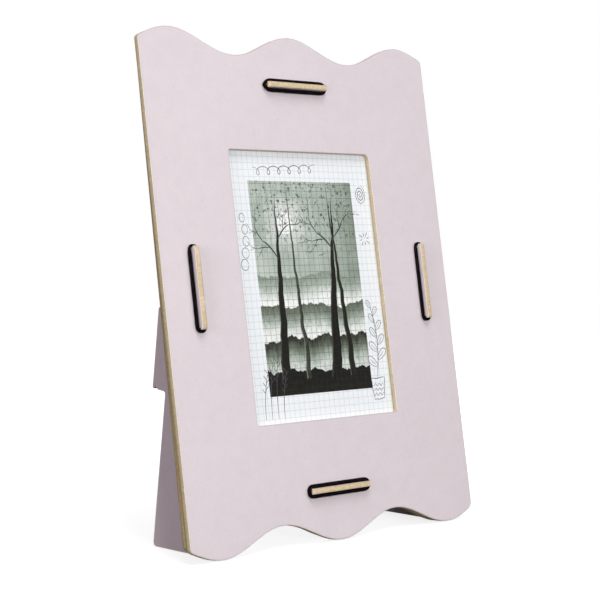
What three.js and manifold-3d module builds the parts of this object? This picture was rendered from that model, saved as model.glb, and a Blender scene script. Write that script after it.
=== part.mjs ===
// A table-top picture frame cut from flat board, put together without glue.
// Two legs and two keys push their tabs through a back board and a wavy front panel,
// and a rubber ring stretched round each tab clamps the panel, the print and the board.
// Millimetres, X to the right, Y to the back, Z up, standing on Z = 0.
import * as THREE from "three";
import { mergeVertices } from "three/addons/utils/BufferGeometryUtils.js";
import Module from "manifold-3d";

const wasm = await Module();
wasm.setup();

// Angles
const degree = Math.PI / 180;
const lean = 9.2 * degree; // how far the panel leans back from upright
const sinLean = Math.sin(lean);
const cosLean = Math.cos(lean);
const tanLean = Math.tan(lean);

// Board, print and the clearances between them
const boardThickness = 4;
const printThickness = 0.3;
const seatGap = 0.2; // between two faces that rest on each other
const slotClearance = 0.3; // all round a tab in its slot
const cutOverrun = 1; // how far a cutter runs past both faces of what it cuts

// Front panel
const panelWidth = 282.5;
const panelHeight = 370; // from the lowest crest to the highest
const panelCornerRadius = 2.5;
const waveCount = 2.5;
const waveLength = panelWidth / waveCount;
const waveDepth = 16.4; // from crest to trough
const stepsPerWave = 28;
const stepsPerArc = 5;

// Window and print
const windowWidth = 140.5;
const windowHeight = 197;
const windowCornerRadius = 2;
const windowRise = 1; // the window sits this much above the panel's middle
const printWidth = 148;
const printHeight = 210;

// Tabs, the same on both legs and both keys
const tabLength = 58;
const tabProud = 5.6; // how far a tab stands out of the panel's face
const tabCornerRadius = 1.2;
const tabRootRadius = 2; // the inside corner where a tab meets its shoulder
const sideTabSpacing = 2 * waveLength; // the side tabs stand under the outer crests
const endTabInset = 37.1; // from the crests to the middle of a key's tab

// Rubber rings and the notches in the tabs' ends that they sit in
const ringSection = 3;
const ringTurnRadius = 3.2; // of the ring's centre line round the end of a tab
const ringCornerGapShare = 0.5; // of seatGap, left where the ring passes the neck's corners
const ringSeatDepth = 1.6;
const ringSeatRoundShare = 0.92;
const ringSides = 12;
const stepsPerQuarter = 7; // of a ring's turn
const quarters = 4; // in a ring's turn

// Back board
const boardInset = 1.5; // inside the panel's outline, enough to clear the table

// Legs
const legFootLength = 67.3; // along the table
const legTopWidth = 4;
const legTopShoulder = 6; // above the front tab
const legFootRadius = 3;
const legTopRadius = 1.2;

// Keys
const keyShoulder = 8; // beyond the tab at each end
const keyDepth = 12;
const keyCornerRadius = 2.5;

// Depths behind the panel's front face, measured square to it
const panelBack = boardThickness;
const printFront = panelBack + seatGap;
const printBack = printFront + printThickness;
const boardFront = printBack + seatGap;
const boardBack = boardFront + boardThickness;
const shoulderDepth = boardBack + seatGap; // where legs and keys bear on the board
const tabReach = shoulderDepth + tabProud;

// Heights up the panel
const middleHeight = panelHeight / 2 + windowRise;
const bottomTabHeight = endTabInset;
const topTabHeight = panelHeight - endTabInset;

const paint = new THREE.Color("#e2d7dc");
const colours = {
  paintedBoard: { color: paint, roughness: 0.55, metalness: 0 },
  paper: { color: new THREE.Color("#eef2f4"), roughness: 0.8, metalness: 0 },
  rubber: { color: new THREE.Color("#141315"), roughness: 0.6, metalness: 0 },
};

function piece(name, geometry, finish) {
  const mesh = new THREE.Mesh(geometry, new THREE.MeshStandardMaterial(colours[finish]));
  mesh.name = name;
  return mesh;
}

// A corner of an outline: where it is and how far it is rounded.
function corner(x, y, radius = 0) {
  return { at: new THREE.Vector2(x, y), radius };
}

// A closed outline through the corners, each joined by an arc of its radius.
function roundedOutline(corners) {
  const outline = new THREE.Shape();
  corners.forEach(({ at, radius }, i) => {
    const before = corners.at(i - 1).at;
    const after = corners[(i + 1) % corners.length].at;
    if (radius === 0) {
      if (i === 0) outline.moveTo(at.x, at.y);
      else outline.lineTo(at.x, at.y);
      return;
    }
    const back = before.clone().sub(at).normalize();
    const on = after.clone().sub(at).normalize();
    const half = Math.acos(THREE.MathUtils.clamp(back.dot(on), -1, 1)) / 2;
    const start = back.clone().multiplyScalar(radius / Math.tan(half)).add(at);
    const centre = back.clone().add(on).setLength(radius / Math.sin(half)).add(at);
    const end = on.clone().multiplyScalar(radius / Math.tan(half)).add(at);
    const startAngle = Math.atan2(start.y - centre.y, start.x - centre.x);
    const endAngle = Math.atan2(end.y - centre.y, end.x - centre.x);
    if (i === 0) outline.moveTo(start.x, start.y);
    else outline.lineTo(start.x, start.y);
    outline.absarc(centre.x, centre.y, radius, startAngle, endAngle, back.cross(on) > 0);
  });
  outline.closePath();
  return outline;
}

function rectangleCorners(middleX, middleY, width, height, radius = 0) {
  const [right, top] = [middleX + width / 2, middleY + height / 2];
  const [left, bottom] = [middleX - width / 2, middleY - height / 2];
  return [
    corner(left, bottom, radius),
    corner(right, bottom, radius),
    corner(right, top, radius),
    corner(left, top, radius),
  ];
}

const extruded = (outline, depth) =>
  new THREE.ExtrudeGeometry(outline, { depth, bevelEnabled: false, curveSegments: stepsPerArc });

// A board parallel to the panel: its outline is drawn across and up the panel.
function boardGeometry(outline, front, back) {
  return extruded(outline, back - front)
    .rotateX(Math.PI / 2)
    .translate(0, back, 0);
}

// An upright plate square to the panel: its outline is drawn back from and up the panel.
function uprightGeometry(outline, middleX) {
  const turn = new THREE.Matrix4().makeBasis(
    new THREE.Vector3(0, 1, 0),
    new THREE.Vector3(0, 0, 1),
    new THREE.Vector3(1, 0, 0),
  );
  return extruded(outline, boardThickness)
    .applyMatrix4(turn)
    .translate(middleX - boardThickness / 2, 0, 0);
}

function solidOf(geometry) {
  const bare = geometry.clone();
  bare.deleteAttribute("normal");
  bare.deleteAttribute("uv");
  const merged = mergeVertices(bare);
  return new wasm.Manifold(
    new wasm.Mesh({
      numProp: 3,
      vertProperties: merged.getAttribute("position").array,
      triVerts: new Uint32Array(merged.index.array),
    }),
  );
}

// The geometry less every cutter.
function cutGeometry(geometry, cutters) {
  const left = cutters.reduce((rest, cutter) => rest.subtract(solidOf(cutter)), solidOf(geometry));
  const mesh = left.getMesh();
  return new THREE.BufferGeometry()
    .setAttribute("position", new THREE.BufferAttribute(mesh.vertProperties, 3))
    .setIndex(new THREE.BufferAttribute(mesh.triVerts, 1))
    .toNonIndexed();
}

// How far the panel's wavy edge stands in from the line of its crests at x. The crests lie
// at the panel's middle and in line with the side tabs.
function waveInset(x) {
  return (waveDepth / 2) * (1 - Math.cos((2 * Math.PI * x) / waveLength));
}

// A cutter through a board from its front to its back, with overrun at both.
function throughCutter(corners, front, back) {
  return boardGeometry(roundedOutline(corners), front - cutOverrun, back + cutOverrun);
}

// Cutters for the four tab slots, longer than the tabs by a clearance at each end.
function slotCutters(endClearance, front, back) {
  const length = tabLength + 2 * endClearance;
  const width = boardThickness + 2 * slotClearance;
  return [
    rectangleCorners(0, topTabHeight, length, width),
    rectangleCorners(0, bottomTabHeight, length, width),
    rectangleCorners(-sideTabSpacing / 2, middleHeight, width, length),
    rectangleCorners(sideTabSpacing / 2, middleHeight, width, length),
  ].map((corners) => throughCutter(corners, front, back));
}

// The wavy outline of the front panel, or of a board that stands in from it by an inset.
function wavyOutline(inset = 0) {
  const side = panelWidth / 2 - inset;
  const waveEnd = side - panelCornerRadius;
  const low = (x) => waveInset(x) + inset;
  const high = (x) => panelHeight - low(x);
  const steps = Math.round(waveCount * stepsPerWave);
  const outline = new THREE.Shape();
  outline.moveTo(-waveEnd, low(waveEnd));
  for (let i = 1; i <= steps; i++) {
    const x = waveEnd * ((2 * i) / steps - 1);
    outline.lineTo(x, low(x));
  }
  outline.quadraticCurveTo(side, low(side), side, low(side) + panelCornerRadius);
  outline.lineTo(side, high(side) - panelCornerRadius);
  outline.quadraticCurveTo(side, high(side), waveEnd, high(waveEnd));
  for (let i = 1; i <= steps; i++) {
    const x = waveEnd * (1 - (2 * i) / steps);
    outline.lineTo(x, high(x));
  }
  outline.quadraticCurveTo(-side, high(side), -side, high(side) - panelCornerRadius);
  outline.lineTo(-side, low(side) + panelCornerRadius);
  outline.quadraticCurveTo(-side, low(side), -waveEnd, low(waveEnd));
  return outline;
}

function frontPanel() {
  const window = rectangleCorners(0, middleHeight, windowWidth, windowHeight, windowCornerRadius);
  const geometry = cutGeometry(boardGeometry(wavyOutline(), 0, panelBack), [
    throughCutter(window, 0, panelBack),
    ...slotCutters(slotClearance, 0, panelBack),
  ]);
  return piece("front_panel", geometry, "paintedBoard");
}

function backBoard() {
  const geometry = cutGeometry(
    boardGeometry(wavyOutline(boardInset), boardFront, boardBack),
    slotCutters(slotClearance + tabRootRadius, boardFront, boardBack),
  );
  return piece("back_board", geometry, "paintedBoard");
}

function printSheet() {
  const outline = roundedOutline(rectangleCorners(0, middleHeight, printWidth, printHeight));
  return piece("print", boardGeometry(outline, printFront, printBack), "paper");
}

// The corners of a tab, each as [along the shoulder, out from it, radius], from one end to
// the other, with a round notch for the ring in each end.
function tabCorners() {
  const seatMiddle = shoulderDepth + seatGap + ringSection / 2;
  const halfSeat = seatGap + ringSection / 2;
  const seatRadius = ringSeatRoundShare * Math.min(halfSeat, ringSeatDepth);
  const firstHalf = [
    [tabLength / 2, 0, tabRootRadius],
    [tabLength / 2, seatMiddle - halfSeat, 0],
    [tabLength / 2 - ringSeatDepth, seatMiddle - halfSeat, seatRadius],
    [tabLength / 2 - ringSeatDepth, seatMiddle + halfSeat, seatRadius],
    [tabLength / 2, seatMiddle + halfSeat, 0],
    [tabLength / 2, tabReach, tabCornerRadius],
  ];
  const otherHalf = firstHalf.map(([along, out, radius]) => [-along, out, radius]);
  return [...firstHalf, ...otherHalf.reverse()];
}

// A tab on a plate's edge, given its middle, the way from its last end to its first, and out.
function placedTab(middle, along, out) {
  return tabCorners().map(([a, o, radius]) => {
    const at = middle.clone().addScaledVector(along, a).addScaledVector(out, o);
    return { at, radius };
  });
}

// A wedge-shaped leg. Its front tab serves the upright frame, and its rear tab the frame
// on its side: turned round, the leg carries the panel with its short sides upright.
function legOutline() {
  const frontFootHeight = (shoulderDepth - panelBack) * tanLean;
  const frontFoot = new THREE.Vector2(shoulderDepth, frontFootHeight);
  const alongTable = new THREE.Vector2(cosLean, sinLean);
  const rearFoot = frontFoot.clone().addScaledVector(alongTable, legFootLength);
  const topHeight = middleHeight + tabLength / 2 + legTopShoulder;
  const frontTop = new THREE.Vector2(shoulderDepth, topHeight);
  const rearTop = new THREE.Vector2(shoulderDepth + legTopWidth, topHeight);

  const up = new THREE.Vector2(0, 1);
  const forward = new THREE.Vector2(-1, 0);
  const frontTab = placedTab(new THREE.Vector2(shoulderDepth, middleHeight), up, forward);

  const rearUp = rearTop.clone().sub(rearFoot).normalize();
  const rearDown = rearUp.clone().negate();
  const backward = new THREE.Vector2(rearUp.y, -rearUp.x);
  const upright = new THREE.Vector2(-sinLean, cosLean);
  const sidewaysLean = Math.atan2(backward.dot(upright), rearUp.dot(upright));
  const rearTabDistance = panelWidth / 2 - (shoulderDepth - panelBack) * Math.tan(sidewaysLean);
  const rearMiddle = rearFoot.clone().addScaledVector(rearUp, rearTabDistance);
  const rearTab = placedTab(rearMiddle, rearDown, backward);

  return roundedOutline([
    { at: frontFoot, radius: 0 },
    { at: rearFoot, radius: legFootRadius },
    ...rearTab,
    { at: rearTop, radius: legTopRadius },
    { at: frontTop, radius: legTopRadius },
    ...frontTab,
  ]);
}

function leg(name, middleX) {
  return piece(name, uprightGeometry(legOutline(), middleX), "paintedBoard");
}

// A T-shaped key: a tab in front of a bar that bears on the back of the board.
function key(name, height) {
  const halfBar = tabLength / 2 + keyShoulder;
  const barBack = shoulderDepth + keyDepth;
  const left = new THREE.Vector2(-1, 0);
  const forward = new THREE.Vector2(0, -1);
  const outline = roundedOutline([
    corner(halfBar, shoulderDepth, keyCornerRadius),
    corner(halfBar, barBack, keyCornerRadius),
    corner(-halfBar, barBack, keyCornerRadius),
    corner(-halfBar, shoulderDepth, keyCornerRadius),
    ...placedTab(new THREE.Vector2(0, shoulderDepth), left, forward),
  ]);
  const geometry = extruded(outline, boardThickness).translate(0, 0, height - boardThickness / 2);
  return piece(name, geometry, "paintedBoard");
}

// A rubber ring stretched round the neck of a tab: a torus pulled apart into its four
// quarters, so that straight runs join them along the tab and across its ends.
function ringGeometry() {
  const neckHalfLength = tabLength / 2 - ringSeatDepth;
  const insideTurn = ringTurnRadius - ringSection / 2;
  const cornerAcross = insideTurn - seatGap; // from the turn's middle to the neck's corner
  const cornerReach = insideTurn - ringCornerGapShare * seatGap;
  const cornerAlong = Math.sqrt(cornerReach ** 2 - cornerAcross ** 2);
  const apart = new THREE.Vector2(neckHalfLength - cornerAlong, boardThickness / 2 - cornerAcross);

  const steps = quarters * stepsPerQuarter;
  const torus = new THREE.TorusGeometry(ringTurnRadius, ringSection / 2, ringSides, steps);
  torus.rotateZ(Math.PI / steps); // so that no vertex lies between two quarters
  const position = torus.getAttribute("position");
  for (let i = 0; i < position.count; i++) {
    const x = position.getX(i) + Math.sign(position.getX(i)) * apart.x;
    const y = position.getY(i) + Math.sign(position.getY(i)) * apart.y;
    position.setXY(i, x, y);
  }
  torus.computeVertexNormals();
  return torus.rotateX(Math.PI / 2).translate(0, -seatGap - ringSection / 2, 0);
}

// A ring lies along the panel's top or bottom edge, or turned to stand beside the window.
function ring(name, x, height, turn = 0) {
  const mesh = piece(name, ringGeometry().rotateY(turn), "rubber");
  mesh.position.set(x, 0, height);
  return mesh;
}

// Everything is drawn in the panel's own frame, then leant back about the lowest edge.
const leaning = new THREE.Group();
leaning.add(
  frontPanel(),
  printSheet(),
  backBoard(),
  leg("left_leg", -sideTabSpacing / 2),
  leg("right_leg", sideTabSpacing / 2),
  key("top_key", topTabHeight),
  key("bottom_key", bottomTabHeight),
  ring("top_ring", 0, topTabHeight),
  ring("bottom_ring", 0, bottomTabHeight),
  ring("left_ring", -sideTabSpacing / 2, middleHeight, Math.PI / 2),
  ring("right_ring", sideTabSpacing / 2, middleHeight, Math.PI / 2),
);
leaning.rotation.x = -lean;
leaning.position.z = panelBack * sinLean;

// The origin is on the table, in the middle of the ground that the frame covers.
const frame = new THREE.Group();
frame.name = "wavy_picture_frame";
frame.add(leaning);
frame.updateMatrixWorld(true);
const extent = new THREE.Box3().setFromObject(frame, true);
leaning.position.y = -(extent.min.y + extent.max.y) / 2;

export default frame;
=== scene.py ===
import math

import bpy
import numpy as np
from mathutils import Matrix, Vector
from mathutils.geometry import delaunay_2d_cdt


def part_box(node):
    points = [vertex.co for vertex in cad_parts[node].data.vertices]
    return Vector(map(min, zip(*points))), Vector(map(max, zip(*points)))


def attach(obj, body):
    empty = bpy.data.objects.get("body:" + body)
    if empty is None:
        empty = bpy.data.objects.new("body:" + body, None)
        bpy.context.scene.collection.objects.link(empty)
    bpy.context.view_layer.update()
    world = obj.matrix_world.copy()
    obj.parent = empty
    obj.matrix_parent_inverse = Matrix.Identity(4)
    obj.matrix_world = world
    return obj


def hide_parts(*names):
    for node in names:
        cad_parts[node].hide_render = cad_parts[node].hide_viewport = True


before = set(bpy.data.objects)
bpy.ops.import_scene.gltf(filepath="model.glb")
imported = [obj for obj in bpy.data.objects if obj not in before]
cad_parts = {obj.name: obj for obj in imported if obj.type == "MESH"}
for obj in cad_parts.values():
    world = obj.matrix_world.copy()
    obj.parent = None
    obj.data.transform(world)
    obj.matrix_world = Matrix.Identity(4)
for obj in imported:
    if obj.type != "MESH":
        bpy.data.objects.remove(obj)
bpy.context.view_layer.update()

# A table-top picture frame cut from painted fibreboard: wavy front panel, print, back board,
# two legs, two keys and four rubber rings. Sizes are in millimetres, meshes in metres.

mm = 0.001
panelLow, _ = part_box("front_panel")

# seat is the gap between faces that rest on each other, slotRoom the one round a tab
stand = dict(lean=math.radians(9.2), board=4.0, paper=0.3, seat=0.2, slotRoom=0.3, slotRadius=0.5)
largeEdge = dict(arris=0.4, band=0.8)  # rounding of the two large boards, and the face beside it
legEdge = dict(arris=0.3, band=0.4)  # the same on legs and keys
sinLean, cosLean, tanLean = math.sin(stand["lean"]), math.cos(stand["lean"]), math.tan(stand["lean"])
panelBack = stand["board"]
paperFront = panelBack + stand["seat"]
paperBack = paperFront + stand["paper"]
boardFront = paperBack + stand["seat"]
boardBack = boardFront + stand["board"]
shoulder = boardBack + stand["seat"]  # the depth where legs and keys bear on the back board
panelStart = np.array([0, panelLow.y, panelLow.z + stand["board"] * sinLean * mm])


# From across, up the panel and behind its face to the part's own frame: a turn by the lean.
def leaned(across, up, behind):
    across, up, behind = np.broadcast_arrays(across, up, behind)
    y = up * sinLean + behind * cosLean
    z = up * cosLean - behind * sinLean
    return np.stack([across, y, z], -1) * mm + panelStart


# Outlines

# A closed line through corners (x, y, radius), each rounded by an arc about its own centre.
def roundedOutline(corners, arcSteps=10):
    at = np.array([c[:2] for c in corners], float)
    before = np.roll(at, 1, 0) - at
    after = np.roll(at, -1, 0) - at
    before /= np.linalg.norm(before, axis=1)[:, None]
    after /= np.linalg.norm(after, axis=1)[:, None]
    line = []
    for point, back, on, (_, _, radius) in zip(at, before, after, corners):
        if radius == 0:
            line.append(point[None])
            continue
        half = math.acos(np.clip(back @ on, -1, 1)) / 2
        middle = back + on
        centre = point + middle / np.linalg.norm(middle) * radius / math.sin(half)
        start = point + back * radius / math.tan(half) - centre
        end = point + on * radius / math.tan(half) - centre
        turn = math.atan2(start[0] * end[1] - start[1] * end[0], start @ end)
        angle = math.atan2(start[1], start[0]) + np.linspace(0, 1, arcSteps + 1) * turn
        line.append(centre + radius * np.stack([np.cos(angle), np.sin(angle)], 1))
    return np.concatenate(line)


def rectangle(middle, size, radius):
    (x, y), (w, h) = middle, size
    return [(x - w / 2, y - h / 2, radius), (x + w / 2, y - h / 2, radius),
            (x + w / 2, y + h / 2, radius), (x - w / 2, y + h / 2, radius)]


# A closed line with extra points, so that no step along it is longer than the given one.
def fineLine(line, step):
    ends = np.roll(line, -1, 0)
    counts = np.maximum(1, np.ceil(np.linalg.norm(ends - line, axis=1) / step)).astype(int)
    starts = np.repeat(line, counts, 0)
    share = np.concatenate([np.arange(n) / n for n in counts])[:, None]
    return starts + (np.repeat(ends, counts, 0) - starts) * share


# Distance along a closed line to each of its points, and round to the first one again.
def distances(line):
    steps = np.linalg.norm(np.roll(line, -1, 0) - line, axis=1)
    return np.concatenate([[0], np.cumsum(steps)])


# A net of n lines by m points, as quads and the map point of each of their corners. along and
# across are the distances at the lines and at the points, with one more where the net closes.
def netQuads(n, m, along, across):
    i, k = np.meshgrid(np.arange(len(along) - 1), np.arange(len(across) - 1), indexing="ij")
    on, up = (i + 1) % n, (k + 1) % m
    quads = np.stack([i * m + k, i * m + up, on * m + up, on * m + k], -1).reshape(-1, 4)
    places = along[np.stack([i, i, i + 1, i + 1], -1)], across[np.stack([k, k + 1, k + 1, k], -1)]
    return quads, np.stack(places, -1).reshape(-1, 4, 2)


# The shift of each point that moves the outline one millimetre towards the material, which
# lies on its left: a mitre, (a + b) / (1 + a . b) with the left normals a and b of its edges.
# Where that much would fold a short edge over, the shift is cut down to leave a tenth of it,
# and grows back towards its neighbours by no more than a fifth of their distance.
def insetShifts(line, deepest):
    ahead = np.roll(line, -1, 0) - line
    length = np.linalg.norm(ahead, axis=1)
    ahead /= length[:, None]
    left = np.stack([-ahead[:, 1], ahead[:, 0]], 1)
    other = np.roll(left, 1, 0)
    mitre = (left + other) / (1 + np.sum(left * other, 1, keepdims=True))
    shrink = np.sum((mitre - np.roll(mitre, -1, 0)) * ahead, 1)
    room = 0.9 * length / np.maximum(shrink, 1e-6)
    room = np.minimum(room, np.roll(room, 1))
    along = distances(line)[:-1]
    apart = np.abs(along[:, None] - along)
    apart = np.minimum(apart, length.sum() - apart)
    room = (room + 0.2 * apart).min(1)
    return mitre * np.minimum(1, room / deepest)[:, None]


# Boards: every flat piece is an outline with holes, walled by one edge profile

# The edge from the front face round to the back one: a band of the face, the arris as a
# quarter circle, the cut wall, and the same again. Columns: inset, depth, rim, cut, across.
def edgeProfile(thickness, arris, band, steps=4):
    turn = np.linspace(0, np.pi / 2, steps + 1)
    inset = np.concatenate([[arris + band], arris * (1 - np.sin(turn))])
    depth = np.concatenate([[0], arris * (1 - np.cos(turn))])
    rim = np.concatenate([[0], np.ones(steps + 1)])
    cut = np.concatenate([[0], turn / (np.pi / 2)])
    front = np.stack([inset, depth, rim, cut], 1)
    back = front[::-1] * [1, -1, 1, 1] + [0, thickness, 0, 0]
    both = np.concatenate([front, back])
    return np.column_stack([both, both[:, 1] / thickness])


# Triangles between closed lines: a Delaunay net held to the lines, kept where a ray from a
# triangle's middle crosses them an odd number of times.
def capTriangles(lines):
    points = np.concatenate(lines)
    starts = np.cumsum([0] + [len(line) for line in lines])
    edges = [np.stack([np.arange(len(line)), (np.arange(len(line)) + 1) % len(line)], 1) + start
             for line, start in zip(lines, starts)]
    segments = np.concatenate(edges)
    found = delaunay_2d_cdt(points.tolist(), segments.tolist(), [], 1, 1e-7)  # 1: inside the lines
    source = np.array([ids[0] for ids in found[3]])
    triangles = source[np.array(found[2])]
    middle = points[triangles].mean(1)
    a, b = points[segments[:, 0]], points[segments[:, 1]]
    spans = (a[:, 1] > middle[:, None, 1]) != (b[:, 1] > middle[:, None, 1])
    with np.errstate(divide="ignore", invalid="ignore"):
        reach = a[:, 0] + (middle[:, None, 1] - a[:, 1]) * (b[:, 0] - a[:, 0]) / (b[:, 1] - a[:, 1])
    crossings = (spans & (middle[:, None, 0] < reach)).sum(1)
    return triangles[crossings % 2 == 1]


def newObject(name, data):
    made = bpy.data.objects.new(name, data)
    bpy.context.scene.collection.objects.link(made)
    return made


# A mesh object from points, faces of one size after another, a map point for each corner and
# named values for each point.
def meshPiece(name, points, faceGroups, mapGroups, values=(), sharpAngle=35):
    signed = sum(np.einsum("ij,ij->i", points[f[:, 0]],
                           np.cross(points[f[:, k]], points[f[:, k + 1]])).sum()
                 for f in faceGroups for k in range(1, f.shape[1] - 1))
    if signed < 0:  # inside out, so every face is turned round
        faceGroups = [f[:, ::-1] for f in faceGroups]
        mapGroups = [m[:, ::-1] for m in mapGroups]
    sizes = np.concatenate([np.full(len(f), f.shape[1]) for f in faceGroups])
    mesh = bpy.data.meshes.new(name)
    mesh.vertices.add(len(points))
    mesh.vertices.foreach_set("co", np.ascontiguousarray(points, np.float32).ravel())
    corners = np.concatenate([f.ravel() for f in faceGroups]).astype(np.int32)
    mesh.loops.add(len(corners))
    mesh.loops.foreach_set("vertex_index", corners)
    mesh.polygons.add(len(sizes))
    firsts = np.concatenate([[0], np.cumsum(sizes)[:-1]]).astype(np.int32)
    mesh.polygons.foreach_set("loop_start", firsts)
    mesh.update(calc_edges=True)
    places = np.concatenate([m.reshape(-1, 2) for m in mapGroups])
    mesh.uv_layers.new(name="surface").data.foreach_set("uv", places.astype(np.float32).ravel())
    for label, array in values:
        attribute = mesh.attributes.new(label, "FLOAT", "POINT")
        attribute.data.foreach_set("value", np.ascontiguousarray(array, np.float32))
    mesh.polygons.foreach_set("use_smooth", np.ones(len(sizes), bool))
    mesh.set_sharp_from_angle(angle=math.radians(sharpAngle))
    return newObject(name, mesh)


# A board: each line is swept by the edge profile as a grid of lines by profile points, and
# the first and last rings are closed by flat faces. place maps (u, v, depth) to the part.
def boardPiece(name, outline, holes, place, arris, band, longestStep=6.0):
    profile = edgeProfile(stand["board"], arris, band)
    m = len(profile)
    lines = [fineLine(line, longestStep) for line in [outline] + [hole[::-1] for hole in holes]]
    points, quads, quadMaps, rings, start = [], [], [], [], 0
    for line in lines:
        flat = line[:, None] + insetShifts(line, arris + band)[:, None] * profile[None, :, :1]
        depth = np.broadcast_to(profile[:, 1], (len(line), m))
        points.append(place(flat[..., 0], flat[..., 1], depth).reshape(-1, 3))
        quad, quadMap = netQuads(len(line), m, distances(line), profile[:, 1])
        quads.append(quad + start)
        quadMaps.append(quadMap)
        rings.append(flat[:, 0])
        start += len(line) * m
    triangles = capTriangles(rings)
    front, back = triangles * m, triangles[:, ::-1] * m + m - 1
    triangleMap = np.concatenate(rings)[triangles]
    values = [(label, np.tile(profile[:, column], start // m))
              for label, column in (("rim", 2), ("cut", 3), ("across", 4))]
    values.append(("inner", np.arange(start) >= m * len(lines[0])))  # one on holes
    return meshPiece(name, np.concatenate(points), [np.concatenate(quads), front, back],
                     [np.concatenate(quadMaps), triangleMap, triangleMap[:, ::-1]], values)


def finish(piece, body, nodes, materials):
    for material in materials:
        piece.data.materials.append(material)
    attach(piece, body)
    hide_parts(*nodes)


# Shader helpers

# Adds nodes to a tree and links them, with numbers or sockets as inputs.
class Nodes:
    def __init__(self, tree):
        self.tree = tree

    def add(self, kind, inputs=(), **settings):
        node = self.tree.nodes.new(kind)
        for name, value in settings.items():
            setattr(node, name, value)
        for key, value in dict(inputs).items():
            self.join(value, node.inputs[key])
        return node

    def join(self, value, socket):
        if isinstance(value, bpy.types.NodeSocket):
            self.tree.links.new(value, socket)
        else:
            socket.default_value = value

    def math(self, operation, *values, clamp=False):
        inputs = dict(enumerate(values))
        return self.add("ShaderNodeMath", inputs, operation=operation, use_clamp=clamp).outputs[0]

    def times(self, a, b):
        return self.math("MULTIPLY", a, b)

    def plus(self, a, b):
        return self.math("ADD", a, b)

    def minus(self, a, b):
        return self.math("SUBTRACT", a, b)

    def larger(self, a, b):
        return self.math("MAXIMUM", a, b)

    def timesPlus(self, value, factor, added):
        return self.math("MULTIPLY_ADD", value, factor, added)

    def mix(self, share, a, b, blend="MIX"):
        inputs = {0: share, 6: a, 7: b}
        return self.add("ShaderNodeMix", inputs, data_type="RGBA", blend_type=blend).outputs[2]

    def mixValue(self, share, a, b):
        return self.add("ShaderNodeMix", {0: share, 2: a, 3: b}, data_type="FLOAT").outputs[0]

    def smooth(self, value, low, high, toLow=0.0, toHigh=1.0):
        inputs = {"Value": value, "From Min": low, "From Max": high, "To Min": toLow, "To Max": toHigh}
        return self.add("ShaderNodeMapRange", inputs, interpolation_type="SMOOTHSTEP").outputs[0]

    def noise(self, vector, scale, detail=2.0, roughness=0.5, distortion=0.0):
        inputs = {"Vector": vector, "Scale": scale, "Detail": detail, "Roughness": roughness,
                  "Distortion": distortion}
        return self.add("ShaderNodeTexNoise", inputs).outputs[0]

    def scaled(self, vector, factors):
        return self.add("ShaderNodeVectorMath", {0: vector, 1: factors}, operation="MULTIPLY").outputs[0]

    def grey(self, value):
        return self.add("ShaderNodeCombineColor", {0: value, 1: value, 2: value}).outputs[0]

    def spot(self, x, y):
        return self.add("ShaderNodeCombineXYZ", {0: x, 1: y}).outputs[0]

    def bump(self, height, strength, distance=0.0002, **inputs):
        given = {"Height": height, "Strength": strength, "Distance": distance, **inputs}
        return self.add("ShaderNodeBump", given).outputs[0]

    def place(self):
        return self.add("ShaderNodeTexCoord").outputs["Object"]

    def surface(self):  # the piece's own map, in millimetres
        return self.add("ShaderNodeUVMap", uv_map="surface").outputs[0]


# A colour as read from a picture, 0 to 255, made linear.
def linear(red, green, blue):
    c = np.array([red, green, blue]) / 255
    return (*np.where(c <= 0.04045, c / 12.92, ((c + 0.055) / 1.055) ** 2.4), 1.0)


# Starts a shader node group and gives its nodes, its input and its output.
def startGroup(name, inputs, outputs):
    tree = bpy.data.node_groups.new(name, "ShaderNodeTree")
    for way, sockets in (("INPUT", inputs), ("OUTPUT", outputs)):
        for label, kind in sockets.items():
            tree.interface.new_socket(label, in_out=way, socket_type="NodeSocket" + kind)
    nodes = Nodes(tree)
    return nodes, nodes.add("NodeGroupInput").outputs, nodes.add("NodeGroupOutput").inputs


def placeGroup(nodes, group, **inputs):
    return nodes.add("ShaderNodeGroup", inputs, node_tree=group).outputs


def startMaterial(name):
    material = bpy.data.materials.new(name)
    material.use_nodes = True
    material.node_tree.nodes.clear()
    nodes = Nodes(material.node_tree)
    shader = nodes.add("ShaderNodeBsdfPrincipled")
    nodes.add("ShaderNodeOutputMaterial", {0: shader.outputs[0]})
    return material, nodes, shader


# Raw fibreboard, as a cut edge shows it: pale and open in the core, browner and denser
# towards the two faces, with short fibres, the fine ripples of the cutter and a peach cast
# that comes and goes along the edge.
def rawBoardGroup():
    nodes, given, out = startGroup(
        "rawBoard",
        dict(Surface="Vector", Place="Vector", Across="Float",
             Core="Color", Skin="Color", Peach="Color"),
        dict(Color="Color", Height="Float"))
    fibres = nodes.noise(given["Place"], 1600, 3, 0.65)
    clumps = nodes.noise(given["Place"], 420, 2, 0.6)
    ripple = nodes.noise(nodes.scaled(given["Surface"], (1.9, 0.18, 1)), 1.0, 2, 0.5)
    cast = nodes.smooth(nodes.noise(given["Place"], 55, 2, 0.5), 0.5, 0.68)
    middle = nodes.math("ABSOLUTE", nodes.minus(given["Across"], 0.5))
    wander = nodes.timesPlus(clumps, 0.16, -0.08)
    skin = nodes.smooth(nodes.plus(middle, wander), 0.2, 0.46)
    tone = nodes.timesPlus(fibres, 0.9, 0.55)
    tone = nodes.times(tone, nodes.timesPlus(ripple, 0.4, 0.8))
    tone = nodes.times(tone, nodes.timesPlus(clumps, 0.9, 0.55))
    color = nodes.mix(nodes.times(skin, 0.8), given["Core"], given["Skin"])
    color = nodes.mix(nodes.times(cast, 0.8), color, given["Peach"])
    nodes.join(nodes.mix(0.8, color, nodes.grey(tone), "MULTIPLY"), out["Color"])
    nodes.join(nodes.timesPlus(fibres, 0.6, nodes.times(ripple, 0.4)), out["Height"])
    return nodes.tree


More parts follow.
